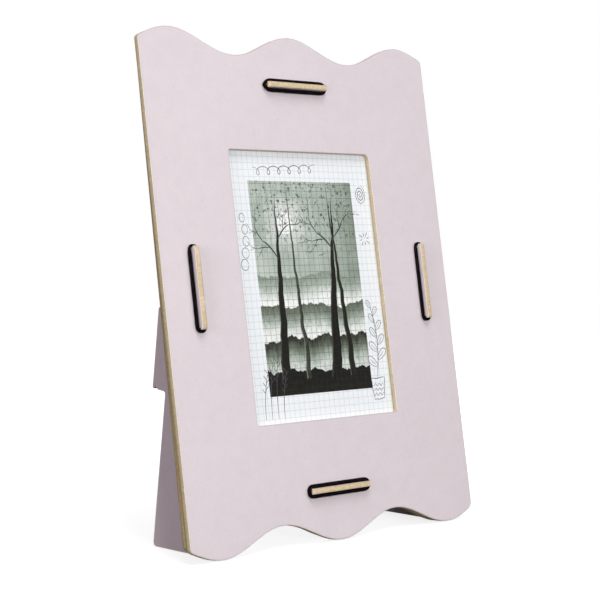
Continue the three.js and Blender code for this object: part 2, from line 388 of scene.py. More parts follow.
# Matt paint over fibreboard: slow changes of tone, the stipple of the roller, blotches where
# the board drinks it, the fibres telegraphing through and a few specks.
def paintFilmGroup():
    nodes, given, out = startGroup(
        "paintFilm", dict(Place="Vector", Paint="Color", Worn="Color"),
        dict(Color="Color", Height="Float", Roughness="Float"))
    slow = nodes.noise(given["Place"], 14, 3, 0.55)
    blotch = nodes.noise(given["Place"], 95, 4, 0.6)
    stipple = nodes.noise(given["Place"], 900, 2, 0.6)
    fibres = nodes.noise(given["Place"], 260, 4, 0.7, 0.6)
    fibreMask = nodes.smooth(fibres, 0.6, 0.74)
    speck = nodes.smooth(nodes.noise(given["Place"], 480, 1, 0.5), 0.79, 0.84)
    tone = nodes.timesPlus(slow, 0.06, 0.97)
    tone = nodes.times(tone, nodes.timesPlus(blotch, 0.1, 0.95))
    tone = nodes.times(tone, nodes.timesPlus(stipple, 0.12, 0.94))
    color = nodes.mix(1.0, given["Paint"], nodes.grey(tone), "MULTIPLY")
    marks = nodes.larger(nodes.times(fibreMask, 0.4), speck)
    nodes.join(nodes.mix(marks, color, given["Worn"]), out["Color"])
    height = nodes.timesPlus(stipple, 0.7, nodes.times(fibres, 0.6))
    nodes.join(nodes.minus(height, nodes.times(speck, 0.5)), out["Height"])
    nodes.join(nodes.timesPlus(slow, 0.12, 0.56), out["Roughness"])
    return nodes.tree


# The cut edges of the two large boards are greener and greyer than the fresh golden ones of
# the legs and keys, and the back board's are the darker of the two. The sanded arris tone is in
# part a painted highlight, and the grey rim tone and the two tones of the walls of holes are painted
# shade.
panelFinish = dict(
    paint=linear(227, 218, 222), speck=linear(210, 197, 203),
    core=linear(218, 207, 165), skin=linear(176, 163, 119), peach=linear(228, 202, 164),
    sandedAndLit=linear(246, 236, 220), rimShade=linear(196, 184, 190), rearTone=linear(190, 178, 140),
    leftWallShading=linear(166, 148, 142), otherWallShading=linear(206, 204, 214), wallShadingShare=0.36,
    gloss=0.18, filmBump=0.14, cutBump=0.4,
)
backFinish = dict(
    panelFinish, core=linear(200, 183, 135), skin=linear(164, 147, 99), peach=linear(208, 176, 130),
    sandedAndLit=linear(190, 178, 140), rearTone=linear(134, 118, 90), gloss=0.04,
)
legFinish = dict(
    panelFinish, core=linear(226, 206, 160), skin=linear(206, 178, 122), peach=linear(240, 214, 184),
    rearTone=linear(240, 228, 212), gloss=0.04,
)


# Paint on the faces, raw board on the cut edges, and between them the arris, in its own tone
# where it is worn through. Where it faces left and not up, towards the lamps on that side, its
# front half is pale with a pale line, sanded wear and a painted highlight, and its rear half has
# the rear tone. Elsewhere the arris and the face beside it are painted grey, a painted shade for
# an arris turned from the light. The walls of a hole get painted shade, in one tone where they
# face left and in a greyer one elsewhere.
def boardMaterial(name, tones):
    material, nodes, shader = startMaterial(name)
    place, surface = nodes.place(), nodes.surface()
    cut, across, rim, inner = (nodes.add("ShaderNodeAttribute", attribute_name=label).outputs["Fac"]
                               for label in ("cut", "across", "rim", "inner"))
    film = placeGroup(nodes, paintFilm, Place=place, Paint=tones["paint"], Worn=tones["speck"])
    raw = placeGroup(nodes, rawBoard, Surface=surface, Place=place, Across=across,
                     Core=tones["core"], Skin=tones["skin"], Peach=tones["peach"])
    normal = nodes.add("ShaderNodeNewGeometry").outputs["Normal"]
    facing = nodes.add("ShaderNodeSeparateXYZ", {0: normal}).outputs
    # One where a surface faces left and not up, towards the lamps on the left: the tones it picks below
    # are painted highlight and painted shade.
    leftward = nodes.times(nodes.smooth(facing[0], 0.1, -0.35), nodes.smooth(facing[2], 0.55, 0.2))
    ragged = nodes.timesPlus(nodes.noise(place, 700, 3, 0.7), 0.5, -0.25)
    worn = nodes.plus(cut, ragged)
    # A pale line along the front arris where it faces left: a painted highlight as well as sanded wear.
    frontHighlight = nodes.smooth(nodes.timesPlus(ragged, 0.6, rim), 0.1, 0.55)
    frontHighlight = nodes.times(nodes.times(frontHighlight, leftward), nodes.smooth(across, 0.6, 0.4))
    wearAndHighlight = nodes.larger(nodes.smooth(worn, 0.12, 0.4), frontHighlight)
    throughSanded = nodes.smooth(worn, 0.8, 1.05)
    # The band of face beside the arris blends into the arris tone: painted shade where that tone is the
    # grey rim.
    rimBandShade = nodes.times(nodes.smooth(nodes.plus(rim, ragged), 0.3, 1.2), 0.7)
    rubbedAndLit = nodes.mix(nodes.smooth(across, 0.4, 0.6), tones["sandedAndLit"], tones["rearTone"])
    arris = nodes.mix(leftward, tones["rimShade"], rubbedAndLit)
    color = nodes.mix(rimBandShade, film["Color"], arris)
    color = nodes.mix(wearAndHighlight, color, arris)
    # Tones of the walls of holes by the way they face: painted shade over the raw board.
    wallShading = nodes.mix(leftward, tones["otherWallShading"], tones["leftWallShading"])
    bare = nodes.mix(nodes.times(inner, tones["wallShadingShare"]), raw["Color"], wallShading)
    color = nodes.mix(throughSanded, color, bare)
    nodes.join(color, shader.inputs["Base Color"])
    rough = nodes.plus(film["Roughness"], nodes.times(wearAndHighlight, 0.25))
    nodes.join(rough, shader.inputs["Roughness"])
    shader.inputs["Specular IOR Level"].default_value = tones["gloss"]
    filmBump = nodes.bump(film["Height"], tones["filmBump"])
    height = nodes.times(raw["Height"], wearAndHighlight)
    cutBump = nodes.bump(height, tones["cutBump"], 0.0004, Normal=filmBump)
    nodes.join(cutBump, shader.inputs["Normal"])
    return material


rawBoard, paintFilm = rawBoardGroup(), paintFilmGroup()
panelBoard, rearBoard, legBoard = (boardMaterial(name, tones) for name, tones in (
    ("panelBoard", panelFinish), ("rearBoard", backFinish), ("legBoard", legFinish)))
print("materials for the boards are ready")

# Front panel

panel = dict(width=282.5, height=370.0, cornerRadius=2.5, lowerRightRadius=5.0,
             waves=2.5, waveDepth=16.4, stepsPerWave=120,
             window=(140.5, 197.0), windowRadius=2.0, upperRightRadius=4.0, windowRise=1.0)
tab = dict(length=58.0, proud=5.6, cornerRadius=1.2, rootRadius=2.0, sideSpacing=226.0, endInset=37.1)
middleHeight = panel["height"] / 2 + panel["windowRise"]
topTab, bottomTab = panel["height"] - tab["endInset"], tab["endInset"]


# How far the wavy edge stands in from its crests at x: a cosine.
def waveInset(x):
    return panel["waveDepth"] / 2 * (1 - np.cos(2 * np.pi * x * panel["waves"] / panel["width"]))


# A quadratic curve from start to end, drawn towards the corner, without its last point.
def bend(start, corner, end, steps=8):
    t = np.arange(steps)[:, None] / steps
    return (1 - t) ** 2 * start + 2 * t * (1 - t) * corner + t ** 2 * end


# The outline of the front panel, or of a board that stands in from it at its sides and ends.
def wavyOutline(sideInset=0.0, endInset=0.0):
    side, radius = panel["width"] / 2 - sideInset, panel["cornerRadius"]
    lowerRight = panel["lowerRightRadius"]
    steps = int(panel["waves"] * panel["stepsPerWave"]) + 1
    x = np.linspace(radius - side, side - lowerRight, steps)
    lower = np.stack([x, waveInset(x) + endInset], 1)
    x = np.linspace(side - radius, radius - side, steps)
    upper = np.stack([x, panel["height"] - waveInset(x) - endInset], 1)
    low = waveInset(side) + endInset
    high = panel["height"] - low
    return np.concatenate([
        lower[:-1], bend(lower[-1], np.array([side, low]), np.array([side, low + lowerRight])),
        bend(np.array([side, high - radius]), np.array([side, high]), upper[0]),
        upper[:-1], bend(upper[-1], np.array([-side, high]), np.array([-side, high - radius])),
        bend(np.array([-side, low + radius]), np.array([-side, low]), lower[0])])


# The four tab slots in a board, with spare length at each end.
def slotLines(endRoom):
    length, width = tab["length"] + 2 * endRoom, stand["board"] + 2 * stand["slotRoom"]
    half = tab["sideSpacing"] / 2
    places = [((0, topTab), (length, width)), ((0, bottomTab), (length, width)),
              ((-half, middleHeight), (width, length)), ((half, middleHeight), (width, length))]
    return [roundedOutline(rectangle(middle, size, stand["slotRadius"]), arcSteps=5)
            for middle, size in places]


def makeFrontPanel():
    corners = rectangle((0, middleHeight), panel["window"], panel["windowRadius"])
    corners[2] = (*corners[2][:2], panel["upperRightRadius"])
    holes = [roundedOutline(corners)] + slotLines(stand["slotRoom"])
    piece = boardPiece("frontPanel", wavyOutline(), holes, leaned, **largeEdge)
    finish(piece, "front", ["front_panel"], [panelBoard])


makeFrontPanel()
print("front panel done")

# Back board

backBoard = dict(sideInset=2.2, endInset=1.85, askew=math.radians(0.55))


# The same wave, a little smaller, and turned clockwise by the play that its slots leave it.
def makeBackBoard():
    sinTurn, cosTurn = math.sin(backBoard["askew"]), math.cos(backBoard["askew"])

    def place(across, up, depth):
        rise = up - middleHeight
        return leaned(across * cosTurn + rise * sinTurn,
                      middleHeight + rise * cosTurn - across * sinTurn, depth + boardFront)

    outline = wavyOutline(backBoard["sideInset"], backBoard["endInset"])
    slots = slotLines(stand["slotRoom"] + tab["rootRadius"])
    piece = boardPiece("backBoard", outline, slots, place, **largeEdge)
    finish(piece, "stand", ["back_board"], [rearBoard])


makeBackBoard()
print("back board done")

# Legs and keys

ringSeat = dict(section=3.0, depth=1.6, roundShare=0.92)
legShape = dict(foot=67.3, topWidth=4.0, topShoulder=6.0, footRadius=3.0, topRadius=1.2)
keyShape = dict(shoulder=8.0, depth=12.0, cornerRadius=2.5)


# A tab's corners as (along the shoulder, out from it, radius), with the ring's notch in each end.
def tabCorners():
    half, reach = tab["length"] / 2, shoulder + tab["proud"]
    seatHigh = shoulder + 2 * (stand["seat"] + ringSeat["section"] / 2)
    radius = ringSeat["roundShare"] * min((seatHigh - shoulder) / 2, ringSeat["depth"])
    inner = half - ringSeat["depth"]
    first = [(half, 0, tab["rootRadius"]), (half, shoulder, 0), (inner, shoulder, radius),
             (inner, seatHigh, radius), (half, seatHigh, 0), (half, reach, tab["cornerRadius"])]
    return first + [(-along, out, radius) for along, out, radius in first[::-1]]


# The same corners round a middle on the shoulder, along and out in the piece's own plane.
def placedTab(middle, along, out):
    return [(*(middle + a * along + o * out), radius) for a, o, radius in tabCorners()]


# A leg from the side, as (behind the face, up the panel): a flat foot, a sloping rear edge
# with its tab, a narrow top and the front tab.
def legOutline():
    foot = np.array([shoulder, (shoulder - panelBack) * tanLean])
    rear = foot + legShape["foot"] * np.array([cosLean, sinLean])
    top = middleHeight + tab["length"] / 2 + legShape["topShoulder"]
    frontTop, rearTop = np.array([shoulder, top]), np.array([shoulder + legShape["topWidth"], top])
    frontTab = placedTab(np.array([shoulder, middleHeight]), np.array([0, 1.0]), np.array([-1.0, 0]))
    rearUp = (rearTop - rear) / np.linalg.norm(rearTop - rear)
    backward = np.array([rearUp[1], -rearUp[0]])
    upright = np.array([-sinLean, cosLean])
    sidewaysLean = math.atan2(backward @ upright, rearUp @ upright)
    distance = panel["width"] / 2 - (shoulder - panelBack) * math.tan(sidewaysLean)
    rearTab = placedTab(rear + distance * rearUp, -rearUp, backward)
    corners = [(*foot, 0), (*rear, legShape["footRadius"]), *rearTab,
               (*rearTop, legShape["topRadius"]), (*frontTop, legShape["topRadius"]), *frontTab]
    return roundedOutline(corners)


def makeLeg(name, node, middleX):
    place = lambda behind, up, depth: leaned(middleX - stand["board"] / 2 + depth, up, behind)
    piece = boardPiece(name, legOutline(), [], place, **legEdge)
    finish(piece, "stand", [node], [legBoard])


# A key from above, as (across, behind the face): a bar with the tab in its middle.
def keyOutline():
    half, back = tab["length"] / 2 + keyShape["shoulder"], shoulder + keyShape["depth"]
    radius = keyShape["cornerRadius"]
    bar = [(half, shoulder, radius), (half, back, radius),
           (-half, back, radius), (-half, shoulder, radius)]
    middle, along, out = np.array([[0, shoulder], [-1.0, 0], [0, -1.0]])
    return roundedOutline(bar + placedTab(middle, along, out))


def makeKey(name, node, height):
    place = lambda across, behind, depth: leaned(across, height - stand["board"] / 2 + depth, behind)
    piece = boardPiece(name, keyOutline(), [], place, **legEdge)
    finish(piece, "stand", [node], [legBoard])


makeLeg("leftLeg", "left_leg", -tab["sideSpacing"] / 2)
makeLeg("rightLeg", "right_leg", tab["sideSpacing"] / 2)
makeKey("topKey", "top_key", topTab)
makeKey("bottomKey", "bottom_key", bottomTab)
print("legs and keys done")

# Rubber rings

ring = dict(turnRadius=3.2, cornerGap=0.1, pulledLength=5.0,
            aroundSteps=24, cornerSteps=16, straightStep=1.2,
            # black rubber, paler streaks along it that are scuffs and a painted highlight, and dust
            black=linear(8, 4, 6), scuffAndSheen=linear(38, 31, 35), dusty=linear(80, 74, 78))


# Moulded black rubber: nearly smooth, faintly dusty, with long soft paler streaks along the ring, which
# are scuffs and in part a painted highlight for its sheen.
def rubberMaterial():
    material, nodes, shader = startMaterial("ringRubber")
    place, surface = nodes.place(), nodes.surface()
    grain = nodes.noise(place, 1500, 3, 0.6)
    scuffAndSheenStreak = nodes.noise(nodes.scaled(surface, (0.06, 1.1, 1)), 1.0, 3, 0.6)
    dust = nodes.smooth(nodes.noise(place, 520, 4, 0.75), 0.6, 0.8)
    color = nodes.mix(nodes.smooth(scuffAndSheenStreak, 0.45, 0.7), ring["black"], ring["scuffAndSheen"])
    color = nodes.mix(nodes.times(dust, 0.1), color, ring["dusty"])
    nodes.join(color, shader.inputs["Base Color"])
    nodes.join(nodes.timesPlus(scuffAndSheenStreak, -0.3, 0.95), shader.inputs["Roughness"])
    shader.inputs["Specular IOR Level"].default_value = 0.03
    nodes.join(nodes.bump(nodes.timesPlus(scuffAndSheenStreak, 0.6, grain), 0.25), shader.inputs["Normal"])
    return material


# The ring's centre line: four quarter turns pulled apart, joined by straight runs.
def ringLine():
    inside = ring["turnRadius"] - ringSeat["section"] / 2
    across = inside - stand["seat"]
    along = math.sqrt((inside - ring["cornerGap"]) ** 2 - across ** 2)
    apart = np.array([tab["length"] / 2 - ringSeat["depth"] - along, stand["board"] / 2 - across])
    quarters = []
    for turn, sideX, sideY in ((0, 1, 1), (1, -1, 1), (2, -1, -1), (3, 1, -1)):
        angle = (turn + np.linspace(0, 1, ring["cornerSteps"] + 1)) * np.pi / 2
        arc = np.stack([np.cos(angle), np.sin(angle)], 1)
        quarters.append(arc * ring["turnRadius"] + apart * [sideX, sideY])
    return fineLine(np.concatenate(quarters), ring["straightStep"])


# A round section carried along the closed centre line: grid of line points by turns. Its
# radius is a share of the full one, which changes from the runs to the pulled ends. The side
# against the tab and the one against the panel stay where they are. A point draws an end
# out by its size times (1 - 2 |v| / turn radius), so its middle leads and its corners are cut.
def makeRing(node, middle, upright, runs, ends, points):
    line = ringLine()
    ahead = np.roll(line, -1, 0) - np.roll(line, 1, 0)
    ahead /= np.linalg.norm(ahead, axis=1)[:, None]
    side = np.stack([ahead[:, 1], -ahead[:, 0]], 1)
    positive = line[:, 0] > 0
    beyond = np.abs(line[:, 0]) - tab["length"] / 2 + ring["pulledLength"]
    pulled = np.clip(beyond / ring["pulledLength"], 0, 1)
    pulled = pulled ** 2 * (3 - 2 * pulled)
    share = runs + (np.where(positive, ends[1], ends[0]) - runs) * pulled
    full = ringSeat["section"] / 2
    radius = full * share
    draw = np.where(positive, points[1], -points[0]) * pulled
    draw = draw * (1 - 2 * np.abs(line[:, 1]) / ring["turnRadius"])
    line = line - side * (full - radius)[:, None] + np.stack([draw, 0 * draw], 1)
    angle = np.arange(ring["aroundSteps"]) / ring["aroundSteps"] * 2 * np.pi
    flat = line[:, None] + side[:, None] * (radius[:, None] * np.cos(angle))[..., None]
    depth = -stand["seat"] - radius[:, None] + radius[:, None] * np.sin(angle)
    u, v = (flat[..., 1], flat[..., 0]) if upright else (flat[..., 0], flat[..., 1])
    placed = leaned(middle[0] + u, middle[1] + v, depth).reshape(-1, 3)
    around = np.linspace(0, 2 * np.pi * full, len(angle) + 1)
    quads, quadMap = netQuads(len(line), len(angle), distances(line), around)
    piece = meshPiece(node.replace("_ring", "Ring"), placed, [quads], [quadMap], sharpAngle=80)
    finish(piece, node, [node], [rubber])


rubber = rubberMaterial()
sideX = tab["sideSpacing"] / 2
makeRing("top_ring", (0, topTab), False, runs=0.94, ends=(0.84, 0.8), points=(1.0, 0.1))
makeRing("bottom_ring", (0, bottomTab), False, runs=0.96, ends=(0.9, 0.84), points=(0.0, 0.15))
makeRing("left_ring", (-sideX, middleHeight), True, runs=0.9, ends=(0.86, 0.66), points=(0.1, 0.0))
makeRing("right_ring", (sideX, middleHeight), True, runs=0.88, ends=(0.86, 0.66), points=(0.0, 0.05))
print("rings done")

# Print

sheet = dict(
    size=(148.0, 210.0), square=5.0, squaresBelow=100, lineWidth=0.32, softness=0.05,
    blockLow=(-52.0, -79.0), blockHigh=(51.0, 77.0),
    paper=linear(250, 254, 255), mottled=linear(244, 251, 255), lines=linear(140, 158, 160),
    pictureLines=linear(34, 40, 32),
    # tones of the picture from dark to light
    stops=((0.0, (10, 8, 6)), (0.2, (38, 36, 28)), (0.5, (120, 130, 116)), (0.75, (180, 193, 182)),
           (1.0, (252, 255, 252))),
)


# Squared paper with a toned picture of bare trees before misty hills printed on it.
def printMaterial():
    material, nodes, shader = startMaterial("squaredPaper")
    surface, place = nodes.surface(), nodes.place()
    across, up, _ = nodes.add("ShaderNodeSeparateXYZ", {0: surface}).outputs
    paper = nodes.mix(nodes.noise(place, 60, 3, 0.6), sheet["paper"], sheet["mottled"])

    # one on the nearest line of the squares, from its distance in millimetres
    def lineMask(value):
        square, half, soft = sheet["square"], sheet["lineWidth"] / 2, sheet["softness"]
        positive = nodes.plus(value, sheet["squaresBelow"] * square)
        share = nodes.math("FRACT", nodes.math("DIVIDE", positive, square))
        away = nodes.times(nodes.math("ABSOLUTE", nodes.minus(share, 0.5)), square)
        return nodes.smooth(nodes.minus(square / 2, away), half + soft, half - soft)

    squares = nodes.larger(lineMask(across), lineMask(up))
    squares = nodes.times(squares, nodes.timesPlus(nodes.noise(surface, 0.9, 2, 0.6), 0.8, 0.4))
    ramp = nodes.add("ShaderNodeValToRGB", {0: woodTone(nodes, across, up, surface)})
    while len(ramp.color_ramp.elements) < len(sheet["stops"]):
        ramp.color_ramp.elements.new(0.5)
    for element, (position, shade) in zip(ramp.color_ramp.elements, sheet["stops"]):
        element.position, element.color = position, linear(*shade)
    inside = nodes.times(between(nodes, across, sheet["blockLow"][0], sheet["blockHigh"][0]),
                         between(nodes, up, sheet["blockLow"][1], sheet["blockHigh"][1]))
    color = nodes.mix(nodes.times(squares, 0.5), paper, sheet["lines"])
    picture = nodes.mix(nodes.times(squares, 0.75), ramp.outputs[0], sheet["pictureLines"])
    nodes.join(nodes.mix(inside, color, picture), shader.inputs["Base Color"])
    nodes.join(nodes.timesPlus(inside, -0.08, 0.66), shader.inputs["Roughness"])
    shader.inputs["Specular IOR Level"].default_value = 0.1
    nodes.join(nodes.bump(nodes.noise(place, 900, 3, 0.6), 0.06), shader.inputs["Normal"])
    return material


# One where a value lies between two limits, with softened edges.
def between(nodes, value, low, high):
    soft = sheet["softness"]
    return nodes.times(nodes.smooth(value, low - soft, low + soft),
                       nodes.smooth(value, high + soft, high - soft))


wood = dict(
    # far to near: base height, swell, ripples per millimetre, tone at the ridge and below, seed
    ridges=((8.0, 16.0, 0.020, 0.60, 1.0, 3.0), (-14.0, 20.0, 0.026, 0.42, 0.96, 11.0),
            (-38.0, 18.0, 0.034, 0.22, 0.85, 23.0), (-62.0, 12.0, 0.05, 0.0, 0.08, 37.0)),
    sun=(-20.0, 46.0, 8.0),  # x, y, radius
    # near trunks: foot x, lean, width at the foot, narrowing upwards, tone
    trunks=((-34.0, 0.05, 8.0, 0.034, 0.03), (-12.0, -0.03, 3.6, 0.016, 0.24),
            (16.0, 0.10, 9.5, 0.04, 0.0), (33.0, -0.06, 5.0, 0.022, 0.08)),
    footHeight=-66.0,
)


# Tone of the picture: a pale sky with drifting cloud and a sun, ridges from far to near that
# are dark along the top and fade into mist below, a dark floor, and trunks across it all,
# |x - (foot + lean h + wander)| < width / 2 - narrowing h at height h over their feet.
def woodTone(nodes, across, up, surface):
    cloud = nodes.noise(nodes.scaled(surface, (0.02, 0.035, 1)), 1.0, 6, 0.62, 0.4)
    streak = nodes.noise(nodes.scaled(surface, (0.16, 0.012, 1)), 1.0, 4, 0.6)
    tone = nodes.plus(0.5, nodes.times(cloud, 0.34))
    tone = nodes.plus(tone, nodes.timesPlus(streak, 0.22, -0.02))
    tone = nodes.minus(tone, nodes.smooth(across, 10.0, 60.0, 0.0, 0.16))
    sunX, sunY, sunRadius = wood["sun"]
    squared = [nodes.math("POWER", nodes.minus(value, middle), 2.0)
               for value, middle in ((across, sunX), (up, sunY))]
    away = nodes.math("POWER", nodes.plus(*squared), 0.5)
    tone = nodes.mixValue(nodes.smooth(away, sunRadius + 0.4, sunRadius - 0.4), tone, 0.97)
    tone = nodes.plus(tone, nodes.smooth(away, 3.5 * sunRadius, sunRadius, 0.0, 0.1))
    rough = nodes.noise(nodes.scaled(surface, (0.35, 0.22, 1)), 1.0, 5, 0.7)
    for base, swell, scale, ridgeTone, footTone, seed in wood["ridges"]:
        ripple = nodes.noise(nodes.spot(nodes.times(across, scale), seed), 1.0, 6, 0.6)
        ridge = nodes.timesPlus(nodes.minus(ripple, 0.5), 2 * swell, base)
        below = nodes.minus(ridge, up)
        body = nodes.smooth(below, 0.0, 22.0, ridgeTone, footTone)
        body = nodes.plus(body, nodes.timesPlus(rough, 0.4, -0.2))
        tone = nodes.mixValue(nodes.smooth(below, -0.25, 0.25), tone, body)
    foliage = nodes.noise(nodes.scaled(surface, (0.28, 0.28, 1)), 1.0, 6, 0.72, 0.3)
    crown = nodes.times(nodes.smooth(foliage, 0.56, 0.6), nodes.smooth(up, 8.0, 60.0, 0.0, 0.85))
    tone = nodes.mixValue(crown, tone, nodes.timesPlus(rough, 0.5, 0.0))
    height = nodes.minus(up, wood["footHeight"])
    bark = nodes.noise(nodes.scaled(surface, (1.1, 0.16, 1)), 1.0, 5, 0.7)
    for i, (foot, lean, width, narrowing, trunkTone) in enumerate(wood["trunks"]):
        spot = nodes.spot(nodes.times(up, 0.03), 5.0 + 7 * i)
        wander = nodes.timesPlus(nodes.noise(spot, 1.0, 3, 0.5), 9.0, -4.5)
        middle = nodes.plus(nodes.timesPlus(height, lean, foot), wander)
        aside = nodes.minus(across, middle)
        half = nodes.timesPlus(height, -narrowing, width / 2 + 0.6)
        inside = nodes.smooth(nodes.minus(half, nodes.math("ABSOLUTE", aside)), -0.15, 0.15)
        lit = nodes.smooth(aside, nodes.times(half, -0.4), nodes.times(half, -1.0), 0.0, 0.3)
        body = nodes.plus(nodes.timesPlus(bark, 0.4, trunkTone - 0.2), lit)
        body = nodes.plus(body, nodes.smooth(height, 40.0, 150.0, 0.0, 0.14))
        inside = nodes.times(inside, nodes.smooth(height, -4.0, -1.0))
        tone = nodes.mixValue(inside, tone, body)
    grain = nodes.noise(surface, 2.2, 2, 0.7)
    return nodes.math("ADD", tone, nodes.timesPlus(grain, 0.16, -0.08), clamp=True)


drawing = dict(
    ink=linear(18, 18, 22), paleInk=linear(62, 62, 70), inkLow=0.005, inkHigh=0.03, pen=0.55,
    plant=(57.5, -88.0), plantHeight=70.0, potHeight=16.0, leaves=9,
    spiral=(60.5, 68.0), spiralTurns=3.2, star=(60.0, 34.0), starRays=8,
    birds=((2, 24), (9, 29), (-5, 31), (14, 22)), stalks=4, rings=5,
    # branches over the picture: root, angle, length, width, turn
    branches=(((-30.0, 20.0), 2.2, 17.0, 1.3, 0.5), ((-29.0, 34.0), 0.9, 15.0, 1.1, -0.5),
              ((26.0, 26.0), 2.3, 18.0, 1.4, 0.4), ((28.0, 36.0), 0.7, 14.0, 1.1, 0.5)),
)


def inkMaterial():
    material, nodes, shader = startMaterial("ink")
    place = nodes.place()
    blot = nodes.noise(place, 900, 3, 0.6)
    color = nodes.mix(blot, drawing["ink"], drawing["paleInk"])
    nodes.join(color, shader.inputs["Base Color"])
    nodes.join(nodes.timesPlus(blot, 0.2, 0.5), shader.inputs["Roughness"])
    return material


# A thin flat stroke of ink along a line of points on the sheet: at each point a section of
# four corners, whose width follows the given array.
def inkStroke(line, width):
    ahead = np.gradient(line, axis=0)
    ahead /= np.maximum(np.linalg.norm(ahead, axis=1)[:, None], 1e-9)
    side = np.stack([-ahead[:, 1], ahead[:, 0]], 1) * (np.broadcast_to(width, len(line)) / 2)[:, None]
    low, high = paperFront - drawing["inkLow"], paperFront - drawing["inkHigh"]
    left, right = line + side, line - side
    section = np.stack([np.column_stack([p, np.full(len(line), d)]) for p, d in
                        ((left, low), (right, low), (right, high), (left, high))], 1)
    quads, _ = netQuads(len(line), 4, np.arange(len(line)), np.arange(5))
    ends = np.array([[3, 2, 1, 0], np.arange(4) + 4 * len(line) - 4])
    return section.reshape(-1, 3), np.concatenate([quads, ends])


# Width along a stroke of n points: under half at its ends and full in its middle.
def penWidth(n, full):
    return full * (0.45 + 0.55 * np.sin(np.linspace(0, np.pi, n)) ** 0.6)


# A potted plant: a bowed stem with leaves on both sides, each a closed loop with a rib.
def plantStrokes():
    x, y = drawing["plant"]
    height, pot, pen = drawing["plantHeight"], drawing["potHeight"], drawing["pen"]
    t = np.linspace(0, 1, 40)
    stem = np.stack([x + 5 * np.sin(2.4 * t) - 3 * t ** 2, y + pot + (height - pot) * t], 1)
    yield stem, pen
    for i in range(drawing["leaves"]):
        at = 0.16 + 0.82 * i / (drawing["leaves"] - 1)
        root = np.array([np.interp(at, t, stem[:, 0]), np.interp(at, t, stem[:, 1])])
        side = 1 if i % 2 else -1
        length = 13 - 6 * at
        lift = math.radians(35 + 25 * at)
        s = np.linspace(0, 2 * np.pi, 36)
        along = length * (1 - np.cos(s)) / 2
        wide = length * 0.2 * np.sin(s) * (1.1 - 0.3 * np.cos(s))
        yield np.stack([root[0] + side * (along * math.cos(lift) - wide * math.sin(lift)),
                        root[1] + along * math.sin(lift) + wide * math.cos(lift)], 1), pen * 0.8
        rib = np.linspace(0, 0.8, 10)[:, None] * length
        yield root + rib * [side * math.cos(lift), math.sin(lift)], pen * 0.5
    rim = np.array([[-7, pot], [-5.2, 0], [5, 0.6], [7.2, pot + 0.4], [-7.4, pot - 0.2]]) + [x, y]
    for a, b in zip(rim[:-1], rim[1:]):
        s = np.linspace(0, 1, 14)[:, None]
        yield a + (b - a) * s + 0.25 * np.sin(9 * s) * [1, 1], pen
    for row in (4.0, 7.5, 11.0):
        s = np.linspace(-1, 1, 30)
        yield np.stack([x + 5.4 * s, y + row + 0.9 * np.sin(9 * s)], 1), pen * 0.7


# Bare branches over the picture: each bows aside and forks twice, down to fine twigs.
def branchStrokes(root, angle, length, width, turn):
    s = np.linspace(0, 1, 9)
    bearing = angle + turn * s ** 2
    line = root + np.cumsum(np.stack([np.cos(bearing), np.sin(bearing)], 1) * length / 8, 0)
    yield np.concatenate([[root], line]), width
    if length > 5:
        yield from branchStrokes(line[-1], bearing[-1] - 0.45, length * 0.66, width * 0.66, -turn)
        yield from branchStrokes(line[4], bearing[4] + 0.75, length * 0.6, width * 0.6, turn * 0.8)


# A spiral, a star, birds, grass, a looping line, a chain of rings, and the branches.
def smallStrokes():
    pen = drawing["pen"]
    t = np.linspace(0, 1, 90)
    x, y = drawing["spiral"]
    angle = 2 * np.pi * drawing["spiralTurns"] * t
    yield np.stack([x + 5.5 * t * np.cos(angle), y + 7.5 * t * np.sin(angle)], 1), pen
    for i in range(drawing["starRays"]):
        angle = i * 2 * np.pi / drawing["starRays"] + 0.2
        s = np.linspace(2.2, 6.2 if i % 2 else 4.6, 8)[:, None]
        yield np.array(drawing["star"]) + s * [math.cos(angle), math.sin(angle)], pen * 0.9
    for i, (x, y) in enumerate(drawing["birds"]):
        s = np.linspace(-1, 1, 25)
        wings = y + 1.6 * np.abs(s) ** 0.6 - 0.8 * s ** 2 + 0.3 * i * s
        yield np.stack([x + 3.2 * s, wings], 1), pen * 0.9
    for i in range(drawing["stalks"]):  # tall grass across the foot of the picture
        s = np.linspace(0, 1, 30)
        tall = 34 + 7 * (i % 3)
        stalk = np.stack([-58 + 6 * i + 6 * s ** 2, -95 + tall * s], 1)
        yield stalk, pen * 0.9
        for j in range(7):
            q = np.linspace(0, 1, 8)[:, None]
            yield stalk[16 + 2 * j] + q * [3.2 if j % 2 else -2.6, 3.4], pen * 0.8
    s = np.linspace(0, 1, 120)  # a loose looping line over the top margin
    loops = [-46 + 62 * s + 3.5 * np.sin(38 * s), 84 + 3.0 * np.cos(38 * s) + 3 * s]
    yield np.stack(loops, 1), pen
    for i in range(drawing["rings"]):  # a climbing chain of rings down the left margin
        turn = np.linspace(0, 2 * np.pi, 26)
        yield np.stack([-61 + 2 * math.sin(i) + (2.4 + 0.3 * i) * np.cos(turn),
                        50 - 8.5 * i + (3.2 + 0.2 * i) * np.sin(turn)], 1), pen * 0.8
    for root, *growth in drawing["branches"]:
        yield from branchStrokes(np.array(root), *growth)


